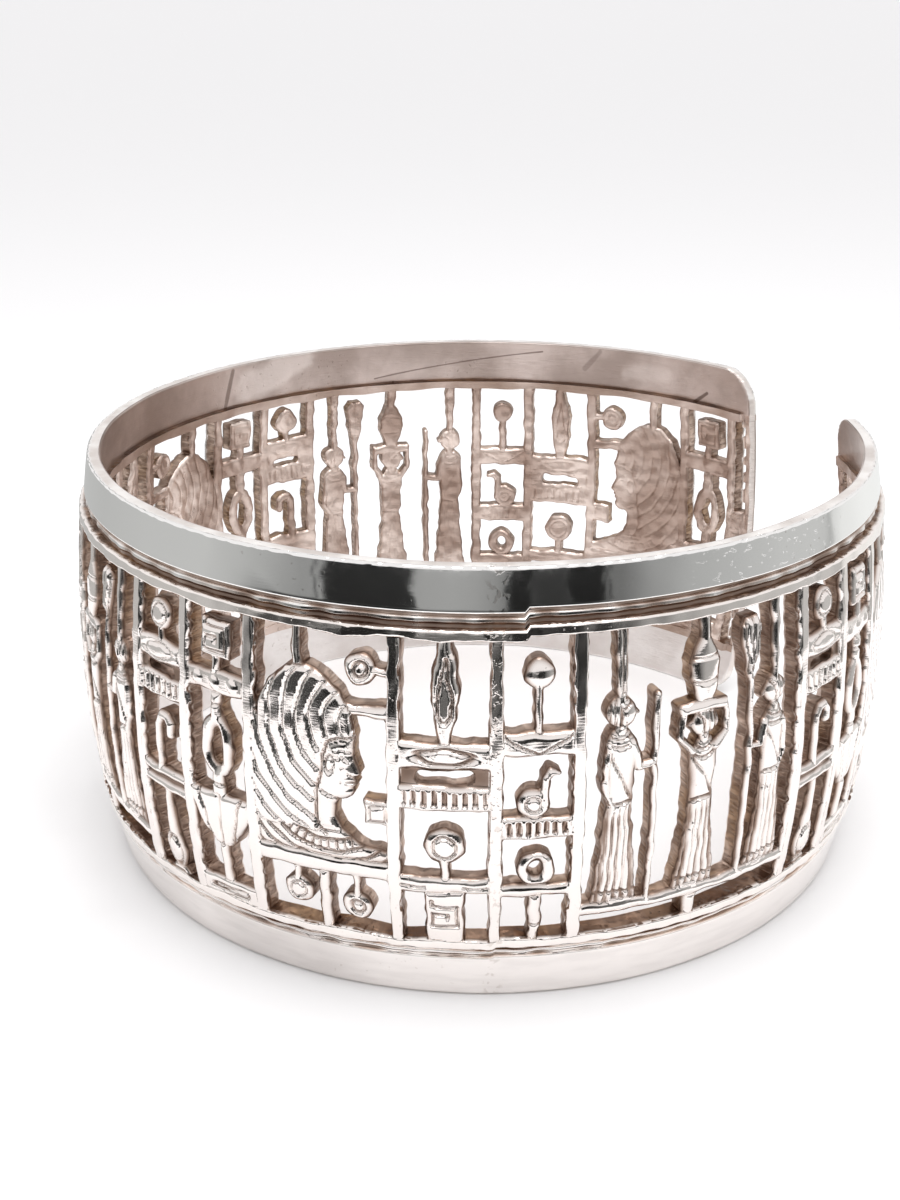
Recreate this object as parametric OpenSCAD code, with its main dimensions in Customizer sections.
// Silver cuff bracelet: a domed band, open at the back, with a pierced and raised frieze
// between two plain borders. It stands on its lower rim, with the wrist's axis along Z.

/* [Band] */
// Width across the outside at the widest height, mm
outer_d = 63.6; // [60:0.2:68]
// Height of the lower border, from the rim to its groove, mm
lower_border_h = 3.4; // [2.6:0.1:4.2]
// Height of the upper border, from its groove to the rim, mm
upper_border_h = 2.9; // [2.4:0.1:4.2]
// Thickness of the plain borders, mm
border_t = 1.0; // [0.8:0.05:1.4]
// How far the wall curves in at the upper rim, mm
dome_top = 1.45; // [0.8:0.05:2]
// How far the wall curves in at the lower rim, mm
dome_bottom = 1.75; // [0.8:0.05:2.2]

/* [Gap] */
// Angle of the opening between the two ends, degrees
gap_angle = 26; // [20:1:34]
// Radius of the rounded corners at the ends, mm
corner_r = 3; // [1.5:0.1:3.2]

/* [Frieze] */
// Height of the pierced frieze between its rails, mm
frieze_h = 21.9; // [21.9:0.1:22.6]
// Thickness of the frieze, from the bars' faces to the inside, mm
frieze_t = 1.6; // [1.4:0.05:2]
// Height that the bars and the motifs stand above the ground, mm
relief_h = 0.35; // [0.2:0.05:0.5]
// Width of the upright bars, degrees
bar_a = 1.68; // [1.2:0.02:2]

/* [Hidden] */

// heights of the rail, and of the two grooves and the raised line between rail and border
rail_h = 0.6;
groove_h = 0.35;
line_h = 0.3;
trim_h = 2 * groove_h + line_h;
// depths under the bars' faces of the border, the raised line and the grooves, and the rims' bevel
border_inset = 0.25;
line_inset = 0.1;
groove_inset = 0.55;
rim_bevel = 0.15;
// bars stand this much out of the motifs on either side of the wall, and rails out of the bars
proud = 0.05;

z_rail0 = lower_border_h + trim_h;
z_floor = z_rail0 + rail_h;
z_roof = z_floor + frieze_h;
z_rail1 = z_roof + rail_h;
z_border1 = z_rail1 + trim_h;
band_h = z_border1 + upper_border_h;
z_wide = 0.473 * band_h;

// where the band starts, anticlockwise from +X, how far it turns, and its plain end strips, degrees
band_a0 = 90 + gap_angle / 2;
band_a = 360 - gap_angle;
end_a = 1.2;
// how far a column runs into the bars beside it, degrees, and into the rails, mm
lap = 0.3;
seat = 0.3;

// the frieze's columns: their widths in degrees, and their order from one end of the band
widths = [["cane", 7.9], ["knot", 8.6], ["head", 16.8], ["leaf", 10.3], ["ankh", 8],
          ["figures", 30.3], ["sliver", 1.8], ["chain", 5.4], ["last", 4]];
order = ["sliver", "knot", "head", "leaf", "ankh", "figures", "cane", "knot", "head", "leaf", "chain",
         "ankh", "figures", "cane", "knot", "head", "leaf", "ankh", "figures", "cane", "knot", "head",
         "leaf", "last"];
figure_a = 10.1;

function width_of(name) = widths[search([name], widths)[0]][1];
function start_of(i) = i == 0 ? end_a : start_of(i - 1) + width_of(order[i - 1]) + bar_a;
function half_of(name) = width_of(name) / 2 * PI / 180 * (outer_d / 2 - relief_h);

// radius of the bars' outer faces at a height: two parabolas that meet at the widest height
function face_r(z) = outer_d / 2 - (z > z_wide ? dome_top * pow((z - z_wide) / (band_h - z_wide), 2)
                                              : dome_bottom * pow((z_wide - z) / z_wide, 2));
steps = 5;
function levels(z0, z1) = [for (k = [0 : steps]) z0 + (z1 - z0) * k / steps];
function reversed(list) = [for (k = [len(list) - 1 : -1 : 0]) list[k]];

module turned(points, a0 = 0, a = band_a)
    rotate([0, 0, band_a0 + a0]) rotate_extrude(angle = a, $fn = 180) polygon(points);

// a layer of the wall between two depths under the bars' faces, over a stretch of the band
module layer(deep, shallow, z0, z1, a0, a) turned(concat(
    [for (z = levels(z0, z1)) [face_r(z) - deep, z]],
    reversed([for (z = levels(z0, z1)) [face_r(z) - shallow, z]])), a0, a);

// a flat drawing, x along the band and y up from its rim, as a block through the wall at an angle
reach = 1.5;
module on_wall(a)
    rotate([0, 0, band_a0 + a]) rotate([90, 0, 90]) translate([0, 0, face_r(0) - frieze_t - reach])
        linear_extrude(frieze_t + dome_bottom + 2 * reach) children();

// a square hoop through the wall, over a stretch of the band
module hoop(a0, a, z0, z1) turned([for (p = [[-1, z0], [1, z0], [1, z1], [-1, z1]])
    [face_r(z_wide) - frieze_t + p[0] * (frieze_t + reach), p[1]]], a0, a);

// a plain border with a groove, a raised line, a groove and a rail, from a rim to the frieze
function border_inner(z) = face_r(z) - border_inset - border_t;
module border(z_rim, z_border, z_rail, z_frieze) {
    up = sign(z_frieze - z_rim);
    outside = [
        [border_inset + rim_bevel, z_rim], [border_inset, z_rim + up * rim_bevel], [border_inset, z_border],
        [groove_inset, z_border], [groove_inset, z_border + up * groove_h],
        [line_inset, z_border + up * groove_h], [line_inset, z_border + up * (groove_h + line_h)],
        [groove_inset, z_border + up * (groove_h + line_h)], [groove_inset, z_rail],
        [-proud, z_rail], [-proud, z_frieze]];
    turned(concat(
        [for (p = outside) [face_r(p[1]) - p[0], p[1]]],
        [[face_r(z_frieze) - frieze_t - 2 * proud, z_frieze], [face_r(z_rail) - frieze_t - 2 * proud, z_rail],
         [border_inner(z_rail), z_rail], [border_inner(z_rim), z_rim]]));
}

// the strip that closes one end of the band, and what is cut off to round that end's two corners
module end_strip(a) layer(border_inset + border_t + proud, border_inset - proud, 2 * seat, band_h - 2 * seat, a, end_a);
module corner() {
    arc = [for (k = [0 : 6]) corner_r * [1 + cos(180 + 15 * k), 1 + sin(180 + 15 * k)]];
    before = 2 * arc[0] - arc[1];
    after = 2 * arc[6] - arc[5];
    polygon(concat([[-reach, -reach], [-reach, before[1]], before], [for (k = [1 : 5]) arc[k]],
        [after, [after[0], -reach]]));
}
module off_end(a, side) on_wall(a) mirror([side, 0, 0]) {
    corner();
    translate([0, band_h]) mirror([0, 1, 0]) corner();
}

module frame() difference() {
    union() {
        border(0, lower_border_h, z_rail0, z_floor);
        border(band_h, z_border1, z_rail1, z_roof);
        end_strip(0);
        end_strip(band_a - end_a);
    }
    off_end(0, 0);
    off_end(band_a, 1);
}

module bar(i) layer(frieze_t + proud, 0, z_floor - seat, z_roof + seat, start_of(i) + width_of(order[i]), bar_a);

// The motifs' drawings have their y from the frieze's floor. t trims every edge, so that a motif's
// raised face stands a little inside its pierced outline.
roof = frieze_h + seat;
trim = 0.12;
module plate(x0, y0, x1, y1, t) translate([x0 + t, y0 + t]) square([x1 - x0 - 2 * t, y1 - y0 - 2 * t]);
module disc(x, y, r, t) translate([x, y]) circle(r - t, $fn = 12);
module shape(x, y, half, points, t) translate([x, y]) scale(1 - t / half) polygon(points);
// a slab from bar to bar in a column of half width h
module slab(h, y0, y1, t) plate(-h - seat, y0, h + seat, y1, t);
function mirrored(points) = concat(points, reversed([for (p = points) [-p[0], p[1]]]));

// a disc on a post, a slab, a hooked cane, a double bar and a drop
module cane(h, t) {
    plate(-0.3, 18, 0.3, 20.2, t / 2);
    disc(0, 20, 1.15, t);
    slab(h, 14, 18.3, t);
    plate(-0.8, 8.5, -0.1, 13, t);
    plate(-0.8, 12.2, 1.2, 13, t);
    plate(0.5, 11.1, 1.2, 13, t);
    slab(h, 6.7, 8.7, t);
    shape(0, 3.2, 1.05, mirrored([[-0.4, 3.7], [-0.5, 1.6], [-1.05, -0.4], [-1.05, -1.8], [-0.6, -3], [-0.6, -3.5]]), t);
}

// a meander on a post, a slab, a knotted loop, a striped fan on its stem
module knot(h, t) {
    plate(-1.25, 18.4, 1.25, 21, t);
    plate(-0.35, 17.2, 0.35, 18.8, t / 2);
    slab(h, 15.9, 17.5, t);
    shape(0, 12.1, 1.45, mirrored([[-0.5, 4], [-0.55, 2.5], [-1.45, 1], [-1.45, -1], [-0.55, -2.5], [-0.5, -4]]), t);
    shape(0, 6.5, 2.6, mirrored([[-h - seat, 2], [-h - seat, 0.9], [-0.75, -2.1]]), t);
    plate(-0.45, 1.3, 0.45, 4.6, t);
    slab(h, -seat, 1.5, t);
}

// a leaf between two windows, a slab with a comb, a disc on a post, a slab and a meander
module leaf(h, t) {
    shape(0, 18.4, 0.95, mirrored([[-0.35, 3.8], [-0.85, 1.6], [-0.95, -0.2], [-0.35, -3.6]]), t);
    slab(h, 10.2, 15, t);
    plate(-0.35, 5, 0.35, 7.5, t / 2);
    disc(0, 7.6, 1.35, t);
    slab(h, 3.9, 5.2, t);
    plate(-1.35, -seat, 1.35, 4.1, t);
}

// a ball on a post, a slab, a curl, a comb, and a looped cross with a stem
module ankh(h, t) {
    plate(-0.32, 15.4, 0.32, 19, t / 2);
    disc(0, 19.3, 1, t);
    slab(h, 13.9, 15.6, t);
    disc(-0.3, 10.6, 1.1, t);
    plate(0.1, 10.6, 0.8, 13.1, t);
    plate(0.1, 12.5, 1.5, 13.1, t);
    slab(h, 8, 9.7, t);
    disc(0, 5.7, 1.3, t);
    slab(h, 3.5, 4.5, t);
    plate(-0.45, -seat, 0.45, 3.7, t);
}

// a head in profile under a striped cloth, on its collar, with a post, a disc and a block beside it
module head(h, t) {
    shape(-0.6, 12.5, 3.2, [[-4.3, -6.6], [5.5, -6.6], [5.5, -5.8], [2.8, -4.9], [1.7, -3.4], [1.7, -2.2],
        [2.9, -1.8], [3, -0.8], [3.4, -0.1], [3, 0.9], [3.2, 2.3], [2.8, 4.2], [1.6, 6], [-0.2, 6.9],
        [-2.2, 6.4], [-3.6, 4.4], [-4.3, 2]], t);
    plate(-1.9, 18.6, -1.2, roof, t);
    plate(1.6, 16.3, h + seat, 17.2, t);
    disc(2.9, 19.5, 1.1, t);
    plate(2.9, 19.2, h + seat, 19.8, t / 2);
    plate(3.1, 8.8, h + seat, 10.6, t);
    slab(h, 4.5, 6, t);
    disc(-1.9, 2.7, 1.1, t);
    plate(-2.2, 2.7, -1.6, 4.8, t / 2);
    plate(-0.4, -seat, 0.5, 4.7, t);
    disc(2.4, 2.2, 1.1, t);
    plate(2.1, 2.2, 2.7, 4.8, t / 2);
}

// a robed figure, as wide at the hem as skirt
module robed(x, neck_y, skirt, t) {
    disc(x, neck_y + 1.4, 1.05, t);
    plate(x - 0.45, neck_y - 0.3, x + 0.45, neck_y + 0.8, t);
    shape(x, neck_y / 2 + 1.2, 1.1, mirrored([[-0.6, neck_y / 2 - 1], [-1.1, neck_y / 2 - 1.8],
        [-0.9, 1.5], [-skirt, 1.2 - neck_y / 2]]), t);
}

// a figure with a staff
module walker(t) {
    robed(-0.5, 15, 1.6, t);
    plate(-0.8, 17, -0.2, roof, t);
    plate(1.7, 2.3, 2.2, 17.6, t / 2);
    plate(-0.2, 12.2, 2, 13, t);
}

// a figure with a jar on a tray
module bearer(t) {
    plate(-0.5, -seat, 0.5, 1.7, t);
    robed(0, 13.4, 1.7, t);
    plate(-1.9, 15.4, 1.9, 16.2, t);
    shape(0, 18, 1.1, mirrored([[-0.5, 4.2], [-0.4, 2.4], [-1.2, 0.8], [-0.6, -2]]), t);
}

// a figure with a long stemmed fan
module keeper(t) {
    robed(0.5, 14.2, 1.7, t);
    plate(0.2, 16.3, 0.8, roof, t);
    plate(-2, 2.3, -1.5, 17.4, t / 2);
    shape(-1.75, 18.2, 0.9, mirrored([[-0.9, 2.8], [-0.25, -1.4]]), t);
    plate(-1.8, 11.6, 0.2, 12.4, t);
}

// narrow columns by the two ends and at the joint
module sliver(h, t) slab(h, 9, 13, t);
module chain(h, t) {
    slab(h, 14, 15.4, t);
    slab(h, 6.4, 7.8, t);
    disc(0, 10.9, 1, t);
    plate(-0.3, 7.6, 0.3, 10.9, t / 2);
    plate(-0.5, -seat, 0.5, 6.6, t);
}
module last(h, t) {
    slab(h, 12.5, 14, t);
    slab(h, 5.5, 7, t);
}

module drawing(name, a, t) {
    h = half_of(name);
    if (name == "figures") {
        hoop(a - width_of(name) / 2 - 1, width_of(name) + 2, z_floor + 1.5 + t, z_floor + 2.5 - t);
        on_wall(a - figure_a) translate([0, z_floor]) walker(t);
        on_wall(a) translate([0, z_floor]) bearer(t);
        on_wall(a + figure_a) translate([0, z_floor]) keeper(t);
    } else
        on_wall(a) translate([0, z_floor]) {
            if (name == "cane") cane(h, t);
            if (name == "knot") knot(h, t);
            if (name == "leaf") leaf(h, t);
            if (name == "ankh") ankh(h, t);
            if (name == "head") head(h, t);
            if (name == "sliver") sliver(h, t);
            if (name == "chain") chain(h, t);
            if (name == "last") last(h, t);
        }
}

// a column's pierced wall, and its motifs' raised faces on it
module column(i) {
    a0 = start_of(i) - lap;
    a = width_of(order[i]) + 2 * lap;
    z0 = z_floor - seat / 2;
    z1 = z_roof + seat / 2;
    intersection() {
        layer(frieze_t, relief_h, z0, z1, a0, a);
        drawing(order[i], a0 + a / 2, 0);
    }
    intersection() {
        layer(relief_h + seat, proud, z0, z1, a0, a);
        drawing(order[i], a0 + a / 2, trim);
    }
}

module cuff() color("silver") {
    frame();
    for (i = [0 : len(order) - 2]) bar(i);
    for (i = [0 : len(order) - 1]) column(i);
}

cuff();
